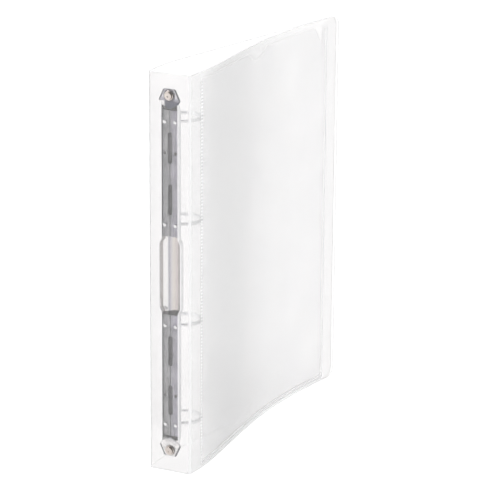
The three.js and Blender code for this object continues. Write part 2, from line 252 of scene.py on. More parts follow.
def tube(path, radius, sides):
    """Vertices and faces of a closed tube along points in one plane of constant Z."""
    points = np.array(path)
    tangents = np.gradient(points, axis=0)
    tangents /= np.linalg.norm(tangents, axis=1)[:, None]
    up = np.array([0, 0, 1.0])
    across = np.cross(tangents, up)
    radii = np.broadcast_to(radius, len(points))
    verts, faces = [], []
    for i, point in enumerate(points):
        for k in range(sides):
            angle = 2 * math.pi * k / sides
            verts.append(point + radii[i] * (across[i] * math.cos(angle) + up * math.sin(angle)))
    for i in range(len(points) - 1):
        for k in range(sides):
            a, b = i * sides + k, i * sides + (k + 1) % sides
            faces.append((a, b, b + sides, a + sides))
    faces.append(tuple(range(sides)))
    faces.append(tuple(range((len(points) - 1) * sides, len(points) * sides)))
    return verts, faces


def lathe_y(profile, x, z, sides=48):
    """Vertices and faces of a solid turned about a line along Y. The profile is (radius, y)."""
    verts, faces = [], []
    count = len(profile)
    for k in range(sides):
        angle = 2 * math.pi * k / sides
        for radius, y in profile:
            verts.append((x + radius * math.cos(angle), y, z + radius * math.sin(angle)))
    for k in range(sides):
        a, b = k * count, ((k + 1) % sides) * count
        for i in range(count - 1):
            quad = (a + i, a + i + 1, b + i + 1, b + i)
            on_axis = (profile[i][0] == 0, profile[i + 1][0] == 0)
            if on_axis[0]:
                quad = (a + i, a + i + 1, b + i + 1)
            elif on_axis[1]:
                quad = (a + i, a + i + 1, b + i)
            faces.append(quad)
    return verts, faces


def arc(cx, cy, radius, start, end, steps):
    angles = np.radians(np.linspace(start, end, steps + 1))
    return [(cx + radius * math.cos(a), cy + radius * math.sin(a)) for a in angles]


def circle(cx, cy, radius, sides=24):
    return arc(cx, cy, radius, 0, 360 - 360 / sides, sides - 1)


def smoothstep(value, low, high):
    share = min(max((value - low) / (high - low), 0.0), 1.0)
    return share * share * (3 - 2 * share)


def mark_sides(piece, material, limit):
    """Gives the faces that look sideways, away from Y, a material of their own."""
    piece.data.materials.append(material)
    for polygon in piece.data.polygons:
        if abs(polygon.normal.y) < limit:
            polygon.material_index = len(piece.data.materials) - 1


def stamped(name, outline, holes, thickness, bevel, material):
    """A flat plate with rounded edges, drawn in X and Z with its middle at Y = 0."""
    curve = bpy.data.curves.new(name + "_outline", "CURVE")
    curve.dimensions = "2D"
    curve.fill_mode = "BOTH"
    curve.extrude = (thickness / 2 - bevel) * MM
    curve.bevel_depth = bevel * MM
    curve.bevel_resolution = 1
    curve.offset = -bevel * MM
    for loop in [outline] + holes:
        spline = curve.splines.new("POLY")
        spline.points.add(len(loop) - 1)
        spline.use_cyclic_u = True
        for point, (u, v) in zip(spline.points, loop):
            point.co = (u * MM, v * MM, 0, 1)
    drawn = add_object(name + "_outline", curve)
    evaluated = drawn.evaluated_get(bpy.context.evaluated_depsgraph_get())
    mesh = bpy.data.meshes.new_from_object(evaluated)
    bpy.data.objects.remove(drawn)
    bpy.data.curves.remove(curve)
    mesh.transform(Matrix.Rotation(math.radians(90), 4, "X"))
    clean(mesh, MERGE_STAMPED)
    mesh.name = name
    mesh.materials.clear()
    mesh.materials.append(material)
    mesh.shade_smooth()
    sharpen(mesh)
    piece = add_object(name, mesh)
    return piece


def cut(piece, cutters):
    """Takes the cutters out of a piece and deletes them."""
    for cutter in cutters:
        modifier = piece.modifiers.new("cut", "BOOLEAN")
        modifier.operation = "DIFFERENCE"
        modifier.solver = "EXACT"
        modifier.object = cutter
    evaluated = piece.evaluated_get(bpy.context.evaluated_depsgraph_get())
    mesh = bpy.data.meshes.new_from_object(evaluated)
    piece.modifiers.clear()
    old = piece.data
    piece.data = mesh
    bpy.data.meshes.remove(old)
    for cutter in cutters:
        bpy.data.objects.remove(cutter)
    mesh.shade_smooth()
    sharpen(mesh)


def rod_cutter(outline, low_y, high_y):
    """A prism along Y for cutting a hole. The outline is drawn in X and Z."""
    count = len(outline)
    verts = [(x, low_y, z) for x, z in outline] + [(x, high_y, z) for x, z in outline]
    faces = [tuple(range(count)), tuple(range(count, 2 * count))]
    faces += [(i, (i + 1) % count, (i + 1) % count + count, i + count) for i in range(count)]
    mesh = bpy.data.meshes.new("cutter")
    mesh.from_pydata([tuple(c * MM for c in v) for v in verts], [], faces)
    clean(mesh)
    return add_object("cutter", mesh)


# ---- Materials ----

def set_inputs(node, values):
    """Sets a node's inputs by name, with underscores for the spaces."""
    for socket, value in values.items():
        node.inputs[socket.replace("_", " ")].default_value = value
    return node


def add_node(material, kind, **values):
    return set_inputs(material.node_tree.nodes.new("ShaderNode" + kind), values)


def principled(name, **values):
    material = bpy.data.materials.new(name)
    material.use_nodes = True
    return material, set_inputs(material.node_tree.nodes["Principled BSDF"], values)


def noise(material, scale, detail=2.0, roughness=0.5, stretch=(1, 1, 1)):
    """A noise texture over the object, in cells per metre. stretch squeezes it along each axis."""
    links = material.node_tree.links
    place = add_node(material, "TexCoord")
    mapping = add_node(material, "Mapping", Scale=stretch)
    texture = add_node(material, "TexNoise", Scale=scale, Detail=detail, Roughness=roughness)
    links.new(place.outputs["Object"], mapping.inputs["Vector"])
    links.new(mapping.outputs["Vector"], texture.inputs["Vector"])
    return texture.outputs["Fac"]


def remap(material, value, low, high, start=0.3, end=0.7):
    """Stretches a value that runs from start to end over low to high."""
    node = add_node(material, "MapRange", From_Min=start, From_Max=end, To_Min=low, To_Max=high)
    material.node_tree.links.new(value, node.inputs["Value"])
    return node.outputs["Result"]


def fill_ramp(ramp, stops):
    """Sets a colour ramp to stops of (position, colour), in rising order."""
    elements = ramp.color_ramp.elements
    elements[0].position, elements[0].color = stops[0][0], (*stops[0][1], 1)
    elements[1].position, elements[1].color = stops[-1][0], (*stops[-1][1], 1)
    for position, colour in stops[1:-1]:
        elements.new(position).color = (*colour, 1)


def mix_colours(material, share, first, second):
    """Fades from one colour to another over the middle of a noise texture's range."""
    ramp = add_node(material, "ValToRGB")
    fill_ramp(ramp, ((0.3, first), (0.7, second)))
    material.node_tree.links.new(share, ramp.inputs["Fac"])
    return ramp.outputs["Color"]


def bump(material, shader, height, distance, strength=1.0):
    """Adds a bump of a height in millimetres on top of those already there."""
    links = material.node_tree.links
    node = add_node(material, "Bump", Distance=distance * MM, Strength=strength)
    links.new(height, node.inputs["Height"])
    previous = shader.inputs["Normal"].links
    if previous:
        links.new(previous[0].from_socket, node.inputs["Normal"])
    links.new(node.outputs["Normal"], shader.inputs["Normal"])


def across(material, axis):
    """A coordinate of the object along one axis, in metres."""
    place = add_node(material, "TexCoord")
    split = add_node(material, "SeparateXYZ")
    material.node_tree.links.new(place.outputs["Object"], split.inputs["Vector"])
    return split.outputs[axis]


def calculate(material, operation, *values):
    """A sum with numbers and outputs of other nodes."""
    node = add_node(material, "Math")
    node.operation = operation
    for socket, value in zip(node.inputs, values):
        if isinstance(value, float):
            socket.default_value = value
        else:
            material.node_tree.links.new(value, socket)
    return node.outputs["Value"]


def bands(material, value, low, high, stops):
    """Colours at places along a value that runs from low to high, in millimetres."""
    ramp = add_node(material, "ValToRGB")
    fill_ramp(ramp, [((at - low) / (high - low), colour) for at, colour in stops])
    share = remap(material, value, 0.0, 1.0, low * MM, high * MM)
    material.node_tree.links.new(share, ramp.inputs["Fac"])
    return ramp.outputs["Color"]


def combine(material, blend, share, first, second):
    """Mixes two colours, each a tuple or an output. share is a number or an output."""
    links = material.node_tree.links
    node = add_node(material, "Mix")
    node.data_type = "RGBA"
    node.blend_type = blend
    if isinstance(share, float):
        node.inputs["Factor"].default_value = share
    else:
        links.new(share, node.inputs["Factor"])
    for socket, colour in (("A", first), ("B", second)):
        if isinstance(colour, tuple):
            node.inputs[socket].default_value = (*colour, 1)
        else:
            links.new(colour, node.inputs[socket])
    return node.outputs["Result"]


def multiply(material, colour, *others):
    for other in others:
        colour = combine(material, "MULTIPLY", 1.0, colour, other)
    return colour


def feed(material, output, shader, socket):
    material.node_tree.links.new(output, shader.inputs[socket])


def wear(material, scale, detail, roughness, dull, stretch=(1, 1, 1), bright=WHITE):
    """Uneven tone over a surface, from dull to bright."""
    return mix_colours(material, noise(material, scale, detail, roughness, stretch), dull, bright)


def frosted_sheet(name, tints, warmth, clearness):
    """Polypropylene with a fine sand texture: it shows what touches it and blurs what is behind.

    tints are shades at distances from the spine: (distance, shade), the sheet's own haze and, on
    the front cover, painted shade. warmth is how much green and blue the tone loses.
    """
    material, shader = principled(name, Transmission_Weight=clearness, IOR=1.36)
    cool = 1 - warmth
    stops = [(at, (shade, shade * cool, shade * cool)) for at, shade in tints]
    # On the front cover these tones paint shade across the sheet; the spine and back keep one even
    # haze.
    haze_and_painted_shade = bands(material, across(material, "Y"), 0, COVER_LENGTH, stops)
    cloud = wear(material, 30, 4, 0.5, (0.985, 0.985, 0.985))
    feed(material, multiply(material, haze_and_painted_shade, cloud), shader, "Base Color")
    feed(material, remap(material, noise(material, 900, 3), 0.08, 0.12), shader, "Roughness")
    bump(material, shader, noise(material, 2600, 2), 0.012, 0.5)
    bump(material, shader, noise(material, 14, 1), 0.4, 0.25)
    return material


def clear_film():
    """Thin clear film, with the slow ripples of a sheet that was welded while warm."""
    material, shader = principled("clear_film", Transmission_Weight=0.97, IOR=1.1)
    feed(material, wear(material, 40, 3, 0.5, (0.985, 0.986, 0.99)), shader, "Base Color")
    feed(material, remap(material, noise(material, 500, 3), 0.07, 0.12), shader, "Roughness")
    bump(material, shader, noise(material, 18, 2, stretch=(1, 1, 0.3)), 0.5, 0.3)
    return material


def milky(name, clearness, shade):
    """Whitened polypropylene: cut edges, folded creases and film pressed into the sheet."""
    material, shader = principled(name, Transmission_Weight=clearness, IOR=1.4)
    dull = (shade - 0.03, shade - 0.033, shade - 0.033)
    tone = wear(material, 700, 2, 0.5, dull, bright=(shade, shade, shade))
    feed(material, tone, shader, "Base Color")
    feed(material, remap(material, noise(material, 900, 2), 0.3, 0.5), shader, "Roughness")
    bump(material, shader, noise(material, 1500, 2), 0.02, 0.4)
    return material


def plated(name, dark, light, rough_low, rough_high, grain, stretch=(1, 1, 1)):
    """Plated steel: slow tone changes and fine lines, which stretch draws out along an axis."""
    material, shader = principled(name, Metallic=1.0)
    feed(material, wear(material, 60, 5, 0.6, dark, bright=light), shader, "Base Color")
    lines = noise(material, grain, 3, 0.6, stretch)
    feed(material, remap(material, lines, rough_low, rough_high), shader, "Roughness")
    bump(material, shader, lines, 0.01, 0.35)
    bump(material, shader, noise(material, 45, 2), 0.06, 0.3)
    return material


def hollow_side():
    """The polished hollow side of the arch, with painted reflections in bands along its length.

    The bands are places on the section, as angles from the +X foot in degrees. They reach
    bands() in thousandths, as its millimetres do.
    """
    material, shader = principled("chromed_hollow_painted_reflections", Metallic=1.0)
    rise = calculate(material, "SUBTRACT", across(material, "Y"), PLATE_BASE * MM)
    turn = calculate(material, "ARCTAN2", rise, across(material, "X"))
    degrees = calculate(material, "MULTIPLY", turn, 180 / math.pi * MM)
    # Painted reflections: light and dark bands laid over the section by angle.
    drawn = bands(material, degrees, 0, 180, HOLLOW_PAINTED_REFLECTIONS)
    streaks = wear(material, 260, 3, 0.6, (0.93, 0.93, 0.94), (1, 1, 0.04))
    feed(material, multiply(material, drawn, streaks), shader, "Base Color")
    lines = noise(material, 900, 3, 0.6, (1, 1, 0.05))
    feed(material, remap(material, lines, 0.10, 0.2), shader, "Roughness")
    bump(material, shader, lines, 0.01, 0.3)
    return material


def zinc_blade():
    """Zinc plating on the blades: passivated, so mottled, with painted shade and a painted lavender
    reflection.
    """
    material, shader = principled("zinc_blade", Metallic=1.0)
    # Painted shade towards the -X edge and a painted lavender reflection towards +X.
    painted_shade_and_reflection = bands(material, across(material, "X"), -7, 7, BLADE_PAINTED_SHADE_AND_REFLECTION)
    mottle = wear(material, 230, 5, 0.65, (0.66, 0.67, 0.70), (1, 1, 0.6), (1.1, 1.1, 1.12))
    clouds = wear(material, 70, 3, 0.5, (0.82, 0.84, 0.82), bright=(1.03, 1.02, 1.06))
    feed(material, multiply(material, painted_shade_and_reflection, mottle, clouds), shader, "Base Color")
    lines = noise(material, 1200, 3, 0.6, (1, 1, 0.04))
    feed(material, remap(material, lines, 0.22, 0.45), shader, "Roughness")
    bump(material, shader, lines, 0.01, 0.35)
    bump(material, shader, noise(material, 300, 2), 0.05, 0.3)
    return material


def tab_plate(name, neck_reflection, rivet_shade):
    """An end of the plate: painted shade on the rim and round the rivet, painted reflection on the
    neck, a painted glint.
    """
    material, shader = principled(name, Metallic=1.0)
    x = across(material, "X")
    off_middle = calculate(material, "SUBTRACT", across(material, "Z"), MIDDLE_Z * MM)
    height = calculate(material, "ABSOLUTE", off_middle)
    from_end = calculate(material, "SUBTRACT", (PLATE_HIGH - PLATE_LOW) / 2 * MM, height)
    from_rivet = calculate(material, "SUBTRACT", from_end, RIVET_FROM_END * MM)
    aside = calculate(material, "POWER", x, 2.0)
    down = calculate(material, "POWER", from_rivet, 2.0)
    radius = calculate(material, "SQRT", calculate(material, "ADD", aside, down))
    # Painted reflection towards the neck and painted shade in a ring round the rivet.
    painted_neck, ring = bands(material, from_end, 0, 16, neck_reflection), bands(material, radius, 0, 16, rivet_shade)
    slope = (TAB_SHOULDER - TAB_TIP) / TAB_SHOULDER_AT
    side = calculate(material, "MULTIPLY_ADD", from_end, slope, TAB_TIP * MM)
    from_side = calculate(material, "SUBTRACT", side, calculate(material, "ABSOLUTE", x))
    # Painted shade along the plate's sides.
    rim = bands(material, from_side, 0, 8, TAB_RIM_PAINTED_SHADE)
    base = multiply(material, painted_neck, ring, rim)
    flank = remap(material, x, 1.0, 0.0, *(edge * MM for edge in GLINT_X))
    low = remap(material, from_end, 0.0, 1.0, *(edge * MM for edge in GLINT_FROM_END))
    glint = calculate(material, "MULTIPLY", flank, low)
    base = combine(material, "MIX", glint, base, GLINT_TONE)
    specks = wear(material, 420, 4, 0.7, (0.72, 0.72, 0.74))
    feed(material, multiply(material, base, specks), shader, "Base Color")
    feed(material, remap(material, noise(material, 600, 3), 0.1, 0.22), shader, "Roughness")
    bump(material, shader, noise(material, 160, 2), 0.12, 0.4)
    return material


# Tones at places. The front sheet's are haze with painted shade, the spine's and back's plain haze.
# The blades', the hollow's and the plate ends' are painted shade, reflections and a glint. The
# sheet's places are distances from the spine, the blades' places across them, the hollow's angles
# in degrees, the neck tables' distances from the plate's end, the rivet tables' distances from the
# rivet's middle, and the rim's distances in from the plate's side.
# Painted shade on the front sheet: darkest 50 to 80 mm from the spine, lighter towards the
# fore-edge, and a little darker again past the fore-edge weld.
FRONT_HAZE_AND_PAINTED_SHADE = ((0, 0.90), (14, 0.89), (17, 0.91), (24, 0.86), (32, 0.80), (50, 0.75), (80, 0.745),
               (107, 0.79), (135, 0.865), (163, 0.92), (191, 0.955), (220, 0.96), (240, 0.963),
               (246, 0.925), (COVER_LENGTH, 0.925))
SPINE_TINTS = ((0, 0.955), (COVER_LENGTH, 0.955))
BACK_TINTS = ((0, 0.995), (COVER_LENGTH, 0.995))
# Painted shade and reflection across the blades.
BLADE_PAINTED_SHADE_AND_REFLECTION = ((-6.4, (0.30, 0.305, 0.31)), (-4.0, (0.41, 0.41, 0.40)), (0.0, (0.43, 0.43, 0.43)),
               (1.5, (0.47, 0.46, 0.49)), (6.4, (0.48, 0.46, 0.51)))
# Painted reflections inside the arch.
HOLLOW_PAINTED_REFLECTIONS = ((44, (0.82, 0.80, 0.79)), (50, (0.36, 0.34, 0.34)), (56, (0.36, 0.33, 0.33)),
                (62, (0.62, 0.56, 0.55)), (79, (0.70, 0.65, 0.62)), (90, (0.75, 0.70, 0.64)),
                (101, (0.74, 0.71, 0.69)), (112, (0.64, 0.62, 0.65)), (117, (0.46, 0.45, 0.51)),
                (122, (0.43, 0.43, 0.47)), (126, (0.70, 0.70, 0.72)), (129, (1.0, 1.0, 0.99)),
                (158, (1.0, 1.0, 0.98)), (174.5, (0.97, 0.97, 0.96)), (177.0, (0.30, 0.28, 0.28)),
                (180, (0.20, 0.19, 0.19)))
# Painted reflections on the plate ends' necks, painted shade round the rivets and along the rims.
TOP_NECK_PAINTED_REFLECTION = ((0.0, (0.78, 0.76, 0.80)), (6.0, (0.76, 0.75, 0.79)), (8.6, (0.50, 0.49, 0.55)),
             (10.0, (0.08, 0.08, 0.12)), (13.6, (0.06, 0.07, 0.11)), (15.5, (0.16, 0.19, 0.23)))
TOP_RIVET_PAINTED_SHADE = ((3.7, WHITE), (3.9, (0.12, 0.10, 0.12)), (4.6, (0.20, 0.18, 0.20)), (5.3, WHITE))
LOW_NECK_PAINTED_REFLECTION = ((0.0, (1.0, 0.99, 0.97)), (10.0, (1.0, 0.99, 0.97)), (12.5, (0.85, 0.84, 0.84)),
             (15.5, (0.60, 0.60, 0.62)))
LOW_RIVET_PAINTED_SHADE = ((3.7, WHITE), (3.9, (0.55, 0.52, 0.50)), (4.5, WHITE))
GLINT_X, GLINT_FROM_END, GLINT_TONE = (-4.6, -3.4), (8.6, 9.8), (1.0, 0.99, 0.98)
TAB_RIM_PAINTED_SHADE = ((0.0, (0.10, 0.10, 0.12)), (0.9, (0.12, 0.12, 0.14)), (1.6, WHITE))

FROSTED_SPINE = frosted_sheet("frosted_spine", SPINE_TINTS, 0.010, 0.9)
FROSTED_BACK = frosted_sheet("frosted_back", BACK_TINTS, 0.004, 0.9)
FROSTED_FRONT = frosted_sheet("frosted_front", FRONT_HAZE_AND_PAINTED_SHADE, 0.004, 0.86)
CLEAR = clear_film()
EDGE = milky("whitened_edge", 0.25, 0.94)
CREASE = milky("whitened_crease", 0.1, 1.0)
WELD = milky("weld", 0.1, 1.0)
CHROME = plated("chromed_plate", (0.94, 0.95, 0.97), (0.99, 0.99, 1.0), 0.08, 0.16, 900,
                (1, 1, 0.05))
WIRE = plated("chromed_wire", (0.90, 0.91, 0.92), (0.97, 0.97, 0.98), 0.1, 0.2, 700)
ZINC = zinc_blade()
NICKEL = plated("nickel_rivet", (0.40, 0.35, 0.32), (0.70, 0.64, 0.60), 0.12, 0.24, 800)
# Near-black metal for the rivet's sideways faces: painted shade round the head.
RIVET_HEAD_PAINTED_SHADE = plated("rivet_head_painted_shade", (0.008, 0.008, 0.008), (0.03, 0.03, 0.028), 0.35, 0.55, 900)
HOLLOW = hollow_side()
TOP_TAB = tab_plate("chromed_top_tab", TOP_NECK_PAINTED_REFLECTION, TOP_RIVET_PAINTED_SHADE)
LOW_TAB = tab_plate("chromed_bottom_tab", LOW_NECK_PAINTED_REFLECTION, LOW_RIVET_PAINTED_SHADE)
# Near-black metal for the sides of stamped plates: painted shade, the dark outline they show.
SIDE_PAINTED_SHADE = plated("side_painted_shade", (0.05, 0.05, 0.06), (0.16, 0.16, 0.18), 0.3, 0.5, 900)


# ---- Creased sheet ----

def heading_at(bend, distance):
    """Which way a bend points at a distance, in radians from +Y towards +X."""
    return math.radians(np.interp(distance, [d for d, _ in bend], [h for _, h in bend]))


def bend_path(side, bend):
    """The middle line of a bent cover in plan, at every millimetre: distance, x, y, heading."""
    x, y = side * SPINE_WIDTH / 2, 0.0
    rows = []
    for distance in range(int(COVER_LENGTH) + 1):
        rows.append((distance, x, y, heading_at(bend, distance)))
        middle = heading_at(bend, distance + 0.5)
        x += math.sin(middle)
        y += math.cos(middle)
    return np.array(rows).T


def along(path, distance):
    """Points and outward headings at distances along a path."""
    d, x, y, heading = path
    return np.interp(distance, d, x), np.interp(distance, d, y), np.interp(distance, d, heading)


FRONT_PATH = bend_path(1, FRONT_BEND)
BACK_PATH = bend_path(-1, BACK_BEND)


def crease_columns(side, path):
    """Plan points and headings round the crease, and the distance where it meets the cover."""
    turn_to = path[3][0]
    joins_at = CREASE_R * (1 - side * math.sin(turn_to))
    end_x, end_y, _ = along(path, joins_at)
    rows = []
    for heading in np.linspace(side * math.pi / 2, turn_to, CREASE_STEPS + 1):
        x = end_x - side * CREASE_R * (math.cos(turn_to) - math.cos(heading))
        y = end_y - side * CREASE_R * (math.sin(heading) - math.sin(turn_to))
        rows.append((x, y, heading))
    return rows, joins_at


def cover_columns(side, path):
    """Plan points of a whole cover, (x, y, heading, distance), and those of its crease alone.

    The distance of a point in the crease is -1.
    """
    rows, joins_at = crease_columns(side, path)
    start_x = rows[0][0]
    rows = [(start_x - side * CREASE_LEAD, 0.0, side * math.pi / 2)] + rows
    flat = list(edge_stops(joins_at, COVER_LENGTH, COVER_COLUMNS, SHEET / 2)[len(EDGE_STEPS):])
    flat += [COVER_LENGTH - CORNER_R * (1 - math.sin(math.radians(a))) for a in range(6, 80, 9)]
    flat = sorted(set(round(float(d), 3) for d in flat))
    columns = [(x, y, heading, -1.0) for x, y, heading in rows]
    for distance in flat:
        x, y, heading = along(path, distance)
        columns.append((float(x), float(y), float(heading), distance))
    return columns, rows


def cover_sheet(name, side, path, node, material):
    """A cover with its crease. It bends between the spine and the cover's body."""
    columns, rows = cover_columns(side, path)
    grid, normals, halves = [], [], []
    for index, (x, y, heading, distance) in enumerate(columns):
        past = max(0.0, distance - (COVER_LENGTH - CORNER_R))
        drop = CORNER_R - math.sqrt(max(CORNER_R ** 2 - past ** 2, 0.0))
        drop = min(drop, CORNER_R - CLEARANCE)
        heights = edge_stops(drop, HEIGHT - drop, COVER_ROWS, SHEET / 2)
        normal = (side * math.cos(heading), -side * math.sin(heading), 0.0)
        rim = edge_share(np.minimum(heights - drop, HEIGHT - drop - heights), SHEET / 2)
        side_rim = edge_share(COVER_LENGTH - distance, SHEET / 2)
        thin = 1.0
        if index < len(rows):
            share = index / (len(rows) - 1)
            thin = 1 - (1 - CREASE_THIN) * math.exp(-((share - 0.5) / CREASE_SPREAD) ** 2)
        grid.append([(x, y, z) for z in heights])
        normals.append([normal] * len(heights))
        halves.append(SHEET / 2 * rim * side_rim * thin)
    at_end = sum(column[3] > COVER_LENGTH - SHEET / 2 - 0.01 for column in columns) - 1
    edges = rim_cells(len(columns), len(halves[0]), (0, at_end))

    def choose(i, j, outer):
        return 2 if i < len(rows) - 1 else edges(i, j, outer)

    piece = shell(name, np.array(grid), np.array(normals), np.array(halves),
                  (material, EDGE, CREASE), choose, 1)
    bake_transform(piece)
    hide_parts(node)
    return rows[0][0]


def spine_sheet(left_edge, right_edge):
    """The flat panel between the creases, with a hole for each rivet."""
    xs = np.linspace(left_edge + SPINE_GAP, right_edge - SPINE_GAP, SPINE_COLUMNS)
    heights = edge_stops(0, HEIGHT, SPINE_ROWS, SHEET / 2)
    rim = edge_share(np.minimum(heights, HEIGHT - heights), SHEET / 2)
    grid = np.array([[(x, 0, z) for z in heights] for x in xs])
    normals = np.broadcast_to((0.0, -1.0, 0.0), grid.shape)
    halves = np.array([SHEET / 2 * rim for _ in xs])
    edges = rim_cells(len(xs), len(heights), (0, 0))
    piece = shell("spine_sheet", grid, normals, halves, (FROSTED_SPINE, EDGE),
                  edges, 1)
    holes = [circle(0, z, RIVET_SHANK_R + CLEARANCE) for z in RIVET_HEIGHTS.values()]
    cut(piece, [rod_cutter(hole, -SHEET, SHEET) for hole in holes])
    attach(piece, "spine")
    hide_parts("spine_panel")


# ---- Front pocket ----

def pocket_top(distance):
    """Height of the film's top edge: a thumb notch, and a corner cut off beside the weld."""
    radius = (THUMB_HALF ** 2 + THUMB_DEPTH ** 2) / (2 * THUMB_DEPTH)
    aside = abs(distance - THUMB_AT)
    if aside < THUMB_HALF:
        return POCKET_TOP + radius - THUMB_DEPTH - math.sqrt(radius ** 2 - aside ** 2)
    if CUT_INNER < distance <= CUT_OUTER:
        return POCKET_TOP - CUT_DEPTH * (distance - CUT_INNER) / (CUT_OUTER - CUT_INNER)
    return POCKET_TOP


def film_lift(distance, z):
    """Air under the film: least at the welds, most in the middle of the pocket."""
    from_weld = min(distance - WELD_TEETH[0], WELD_FORE[0] - distance, z - WELD_BOTTOM[0])
    rise = smoothstep(from_weld, *FILM_RISE)
    return FILM_GAP * (FILM_GAP_AT_WELD + (1 - FILM_GAP_AT_WELD) * rise)


def film_point(distance, z, lift):
    """A point at a height over the front cover's outer face, and the outward normal there."""
    x, y, heading = along(FRONT_PATH, distance)
    normal = np.array([math.cos(heading), -math.sin(heading), 0.0])
    return np.array([float(x), float(y), z]) + normal * (SHEET / 2 + lift), normal


def pocket_film():
    """The film, with its thumb notch, its cut corner and its rounded edges."""
    distances = list(edge_stops(POCKET_START, POCKET_END, FILM_COLUMNS, FILM / 2))
    distances += list(np.linspace(THUMB_AT - THUMB_HALF, THUMB_AT + THUMB_HALF, 25))
    distances += [CUT_INNER, CUT_OUTER, CUT_OUTER + CUT_SLIT]
    distances = sorted(set(round(float(d), 3) for d in distances))
    grid, normals, halves = [], [], []
    for distance in distances:
        top = pocket_top(distance)
        heights = edge_stops(POCKET_BOTTOM, top, FILM_ROWS, FILM / 2)
        column, column_normals = [], []
        for z in heights:
            point, normal = film_point(distance, z, film_lift(distance, z) + FILM / 2)
            column.append(point)
            column_normals.append(normal)
        rim = edge_share(np.minimum(heights - POCKET_BOTTOM, top - heights), FILM / 2)
        side_rim = edge_share(min(distance - POCKET_START, POCKET_END - distance), FILM / 2)
        grid.append(column)
        normals.append(column_normals)
        halves.append(FILM / 2 * rim * side_rim)
    edges = rim_cells(len(distances), len(halves[0]), (RIM_CELLS, RIM_CELLS))
    piece = shell("pocket_film", np.array(grid), np.array(normals), np.array(halves),
                  (CLEAR, WELD), edges, 1)
    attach(piece, "front_cover")
    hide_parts("front_pocket_film")


def weld_pad(verts, faces, z, tooth):
    """Adds one pressed tooth of a serrated weld: a small block with sloping sides."""
    distance, half_length, half_height, rise = tooth
    base = len(verts)
    lift = film_lift(distance, z) + FILM
    for shrink, up in ((1.0, WELD_SINK), (0.7, rise)):
        for du, dv in ((-1, -1), (1, -1), (1, 1), (-1, 1)):
            at = distance + du * half_length * shrink
            verts.append(film_point(at, z + dv * half_height * shrink, lift + up)[0])
    faces.append(tuple(base + k for k in (4, 5, 6, 7)))
    faces.append(tuple(base + k for k in (3, 2, 1, 0)))
    for k in range(4):
        after = (k + 1) % 4
        faces.append((base + k, base + after, base + 4 + after, base + 4 + k))


def serrated_weld(name, tooth, material):
    """A row of short teeth up the cover, as a toothed welding bar leaves them."""
    verts, faces = [], []
    for z in np.arange(POCKET_BOTTOM + 2, POCKET_TOP - 1.5, WELD_PITCH):
        weld_pad(verts, faces, z, tooth)
    piece = new_object(name, verts, faces, (material,), smooth=False)
    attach(piece, "front_cover")


def weld_line(name, z):
    """A plain welded bead along the bottom of the pocket."""
    distances = np.linspace(POCKET_START + WELD_INSET, POCKET_END - WELD_INSET, BEAD_STEPS)
    verts, faces = [], []
    count = len(BEAD)
    for distance in distances:
        for aside, rise in BEAD:
            lift = film_lift(distance, z) + FILM + rise
            verts.append(film_point(distance, z + aside, lift)[0])
    for i in range(len(distances) - 1):
        for k in range(count):
            a, b = i * count + k, i * count + (k + 1) % count
            faces.append((a, b, b + count, a + count))
    faces.append(tuple(range(count)))
    faces.append(tuple(range(len(verts) - count, len(verts))))
    piece = new_object(name, verts, faces, (WELD,))
    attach(piece, "front_cover")


def pocket():
    pocket_film()
    serrated_weld("pocket_weld_spine_side", WELD_TEETH, WELD)
    serrated_weld("pocket_weld_ticks", WELD_TICKS, CLEAR)
    serrated_weld("pocket_weld_fore_edge", WELD_FORE, WELD)
    for row, z in enumerate(WELD_BOTTOM):
        weld_line(f"pocket_weld_bottom_{row + 1}", z)


# ---- Ring mechanism ----

def arch_size(z):
    """Outer half-width and height of the arch at a height along the plate."""
    from_end = min(z - PLATE_LOW, PLATE_HIGH - z)
    rise = smoothstep(from_end, RISE_FROM, RISE_TO)
    height = PLATE + (ARCH_HEIGHT - PLATE) * rise
    from_middle = abs(z - MIDDLE_Z)
    flare = 1 - smoothstep(from_middle, BULGE_REACH, BULGE_REACH + BULGE_TAPER)
    return ARCH_HALF + (BULGE_HALF - ARCH_HALF) * flare, height


def arch_section(half_width, height):
    """Middle line of the plate in section, from foot to foot, with its outward normals."""
    a = half_width - PLATE / 2
    b = height * (1 - ARCH_SKIRT) - PLATE / 2
    skirt = PLATE_BASE + height * ARCH_SKIRT
    low = PLATE_BASE + PLATE / 2 * 0.2
    points, normals = [], []
    for y in np.linspace(low, skirt, 4)[:-1]:
        points.append((a, y))
        normals.append((1.0, 0.0))
    for angle in np.radians(np.linspace(0, 180, 29)):
        points.append((a * math.cos(angle), skirt + max(b, 0.05) * math.sin(angle)))
        normal = Vector((math.cos(angle) / a, math.sin(angle) / max(b, 0.05))).normalized()
        normals.append(tuple(normal))
    for y in np.linspace(low, skirt, 4)[:-1][::-1]:
        points.append((-a, y))
        normals.append((-1.0, 0.0))
    return points, normals


